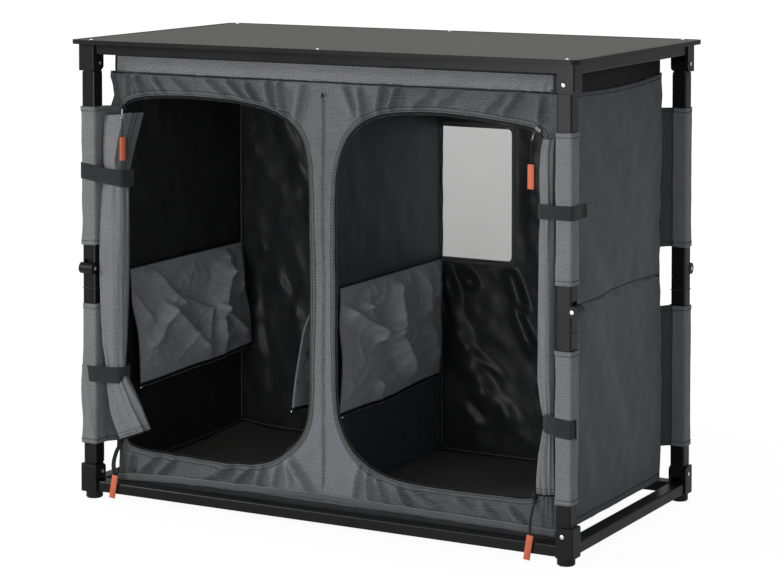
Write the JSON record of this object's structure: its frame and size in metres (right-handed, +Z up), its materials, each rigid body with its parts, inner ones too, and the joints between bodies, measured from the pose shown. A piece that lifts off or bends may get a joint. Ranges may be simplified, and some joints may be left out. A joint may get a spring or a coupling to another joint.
{
  "type": "camping cupboard",
  "caption": "Folding camping cupboard: table top on kneed legs with clevis corners, and a zipped cloth body with divided compartments and half shelves.",
  "frame": {"origin": "on the floor under the middle of the cupboard", "axes": "+X to the right along the width, +Y from the front to the back, +Z up; the door openings face -Y"},
  "size_m": [0.96, 0.524, 0.8],
  "materials": {
    "tube": "satin black coated aluminium tube",
    "moulding": "black moulded nylon with a steel rivet pin",
    "board": "matte grey coated board",
    "edging": "dark grey edging",
    "cloth": "mid grey woven polyester with visible weave",
    "dark_cloth": "dark grey woven polyester",
    "lining": "black coated lining, slightly shiny",
    "window": "light grey translucent net",
    "tab": "orange moulded pull tab on a thin cord"
  },
  "bodies": {
    "base": {"back_wall": "dark_cloth", "bottom_bracket_fl": "moulding", "bottom_bracket_fr": "moulding", "bottom_bracket_rl": "moulding", "bottom_bracket_rr": "moulding", "bottom_rail_back": "tube", "bottom_rail_front": "tube", "bottom_rail_left": "tube", "bottom_rail_right": "tube", "door_roll_left": "cloth", "door_roll_right": "cloth", "floor_panel": "lining", "front_panel": "cloth", "left_wall": "dark_cloth", "partition": "lining", "right_wall": "dark_cloth", "window_net": "window"},
    "lower_leg_fr": {"lower_leg_fr": "tube", "knee_lower_fr": "moulding", "lower_sleeve_fr": "cloth"},
    "upper_leg_fr": {"upper_leg_fr": "tube", "knee_upper_fr": "moulding", "upper_sleeve_fr": "cloth"},
    "lower_leg_rr": {"lower_leg_rr": "tube", "knee_lower_rr": "moulding", "lower_sleeve_rr": "cloth"},
    "upper_leg_rr": {"upper_leg_rr": "tube", "knee_upper_rr": "moulding", "upper_sleeve_rr": "cloth"},
    "lower_leg_rl": {"lower_leg_rl": "tube", "knee_lower_rl": "moulding", "lower_sleeve_rl": "cloth"},
    "upper_leg_rl": {"upper_leg_rl": "tube", "knee_upper_rl": "moulding", "upper_sleeve_rl": "cloth"},
    "lower_leg_fl": {"lower_leg_fl": "tube", "knee_lower_fl": "moulding", "lower_sleeve_fl": "cloth"},
    "upper_leg_fl": {"upper_leg_fl": "tube", "knee_upper_fl": "moulding", "upper_sleeve_fl": "cloth"},
    "top": {"top_band": "cloth", "top_bracket_fl": "moulding", "top_bracket_fr": "moulding", "top_bracket_rl": "moulding", "top_bracket_rr": "moulding", "top_rail_back": "tube", "top_rail_front": "tube", "top_rail_left": "tube", "top_rail_right": "tube", "table_board": "board", "table_edging": "edging"},
    "shelf_left_wall": {"shelf_left_wall": "dark_cloth"},
    "shelf_partition_left": {"shelf_partition_left": "dark_cloth"},
    "shelf_partition_right": {"shelf_partition_right": "dark_cloth"},
    "shelf_right_wall": {"shelf_right_wall": "dark_cloth"},
    "zip_pull_top_left": {"zip_pull_top_left": "tab"},
    "zip_pull_bottom_left": {"zip_pull_bottom_left": "tab"},
    "zip_pull_top_right": {"zip_pull_top_right": "tab"},
    "zip_pull_bottom_right": {"zip_pull_bottom_right": "tab"}
  },
  "joints": [
    {"name": "fold", "type": "hinge", "parent": "base", "child": "lower_leg_fr", "pos_m": [0.452, -0.234, 0.0475], "axis": [0, -1, 0], "range_deg": [0, 90], "deforming": ["front_panel", "back_wall", "left_wall", "right_wall", "partition", "window_net", "door_roll_left", "door_roll_right", "shelf_left_wall", "shelf_partition_left", "shelf_partition_right", "shelf_right_wall", "zip_pull_top_left", "zip_pull_bottom_left", "zip_pull_top_right", "zip_pull_bottom_right"]},
    {"name": "knee_fr", "type": "hinge", "parent": "lower_leg_fr", "child": "upper_leg_fr", "pos_m": [0.467, -0.234, 0.4035], "axis": [0, -1, 0], "range_deg": [-180, 0]},
    {"name": "lower_rr", "type": "hinge", "parent": "base", "child": "lower_leg_rr", "pos_m": [0.452, 0.234, 0.0475], "axis": [1, 0, 0], "range_deg": [0, 90]},
    {"name": "knee_rr", "type": "hinge", "parent": "lower_leg_rr", "child": "upper_leg_rr", "pos_m": [0.452, 0.249, 0.4035], "axis": [1, 0, 0], "range_deg": [-180, 0]},
    {"name": "lower_rl", "type": "hinge", "parent": "base", "child": "lower_leg_rl", "pos_m": [-0.452, 0.234, 0.0475], "axis": [0, 1, 0], "range_deg": [0, 90]},
    {"name": "knee_rl", "type": "hinge", "parent": "lower_leg_rl", "child": "upper_leg_rl", "pos_m": [-0.467, 0.234, 0.4035], "axis": [0, 1, 0], "range_deg": [-180, 0]},
    {"name": "lower_fl", "type": "hinge", "parent": "base", "child": "lower_leg_fl", "pos_m": [-0.452, -0.234, 0.0475], "axis": [-1, 0, 0], "range_deg": [0, 90]},
    {"name": "knee_fl", "type": "hinge", "parent": "lower_leg_fl", "child": "upper_leg_fl", "pos_m": [-0.452, -0.249, 0.4035], "axis": [-1, 0, 0], "range_deg": [-180, 0]},
    {"name": "top_fr", "type": "hinge", "parent": "upper_leg_fr", "child": "top", "pos_m": [0.452, -0.234, 0.7595], "axis": [0, -1, 0], "range_deg": [0, 90]},
    {"name": "shelf_left_wall_lift", "type": "hinge", "parent": "base", "child": "shelf_left_wall", "pos_m": [-0.4245, 0, 0.393], "axis": [0, -1, 0], "range_deg": [0, 90]},
    {"name": "shelf_partition_left_lift", "type": "hinge", "parent": "base", "child": "shelf_partition_left", "pos_m": [-0.00075, 0, 0.393], "axis": [0, 1, 0], "range_deg": [0, 90]},
    {"name": "shelf_partition_right_lift", "type": "hinge", "parent": "base", "child": "shelf_partition_right", "pos_m": [0.00075, 0, 0.393], "axis": [0, -1, 0], "range_deg": [0, 90]},
    {"name": "shelf_right_wall_lift", "type": "hinge", "parent": "base", "child": "shelf_right_wall", "pos_m": [0.4245, 0, 0.393], "axis": [0, 1, 0], "range_deg": [0, 90]},
    {"name": "zip_pull_top_left_swing", "type": "hinge", "parent": "base", "child": "zip_pull_top_left", "pos_m": [-0.40006, -0.2095, 0.67812], "axis": [-1, 0, 0], "range_deg": [0, 80]},
    {"name": "zip_pull_bottom_left_swing", "type": "hinge", "parent": "base", "child": "zip_pull_bottom_left", "pos_m": [-0.4108, -0.2095, 0.0898], "axis": [-1, 0, 0], "range_deg": [0, 80]},
    {"name": "zip_pull_top_right_swing", "type": "hinge", "parent": "base", "child": "zip_pull_top_right", "pos_m": [0.39241, -0.2095, 0.68741], "axis": [-1, 0, 0], "range_deg": [0, 80]},
    {"name": "zip_pull_bottom_right_swing", "type": "hinge", "parent": "base", "child": "zip_pull_bottom_right", "pos_m": [0.3852, -0.2095, 0.0842], "axis": [-1, 0, 0], "range_deg": [0, 80]}
  ],
  "couplings": [
    {"joint": "knee_fr", "follows": "fold", "ratio": -2},
    {"joint": "lower_rr", "follows": "fold", "ratio": 1},
    {"joint": "knee_rr", "follows": "fold", "ratio": -2},
    {"joint": "lower_rl", "follows": "fold", "ratio": 1},
    {"joint": "knee_rl", "follows": "fold", "ratio": -2},
    {"joint": "lower_fl", "follows": "fold", "ratio": 1},
    {"joint": "knee_fl", "follows": "fold", "ratio": -2},
    {"joint": "top_fr", "follows": "fold", "ratio": 1}
  ]
}
